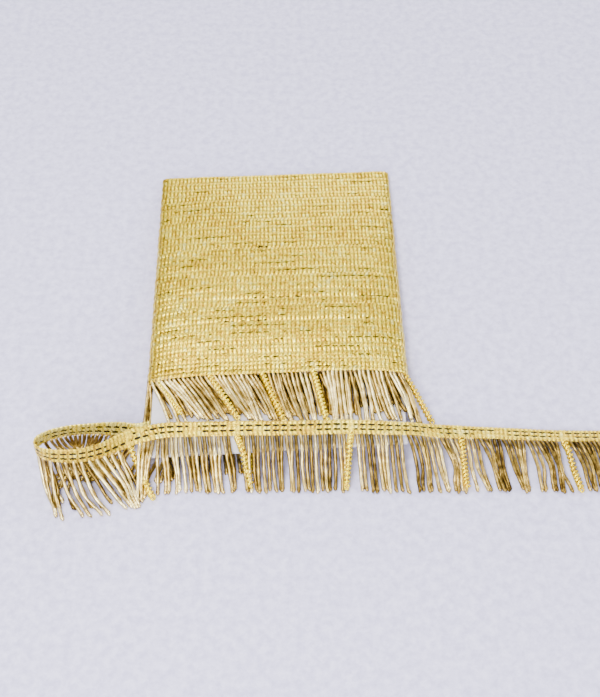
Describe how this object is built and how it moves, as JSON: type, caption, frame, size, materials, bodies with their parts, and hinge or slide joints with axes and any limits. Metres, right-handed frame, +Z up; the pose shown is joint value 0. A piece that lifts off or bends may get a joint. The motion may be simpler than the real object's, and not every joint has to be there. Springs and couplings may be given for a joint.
{
  "type": "bullion fringe trim wound on a core card",
  "caption": "Gold bullion fringe trim wound flat on a card, its knitted heading and twisted strands run out in front with a loop at one end.",
  "frame": {"origin": "middle of the base of the whole object's box, on the surface that it lies on", "axes": "+X along the free run to its cut end, the longest way; +Y from the free run to the thin end of the hank; +Z up"},
  "size_m": [0.3484, 0.281, 0.0306],
  "materials": {
    "heading": "satin",
    "strands": "satin",
    "curly_strands": "satin",
    "core_card": "matte"
  },
  "bodies": {
    "root": {"core_card": "core_card", "wound_hank": "heading", "heading_run": "heading", "hank_fringe_top": "strands", "hank_fringe_under": "strands", "fringe_tucked": "strands", "fringe_loop_back": "strands", "fringe_loop_front": "strands", "fringe_over_card": "strands", "fringe_on_floor": "strands"}
  },
  "joints": []
}
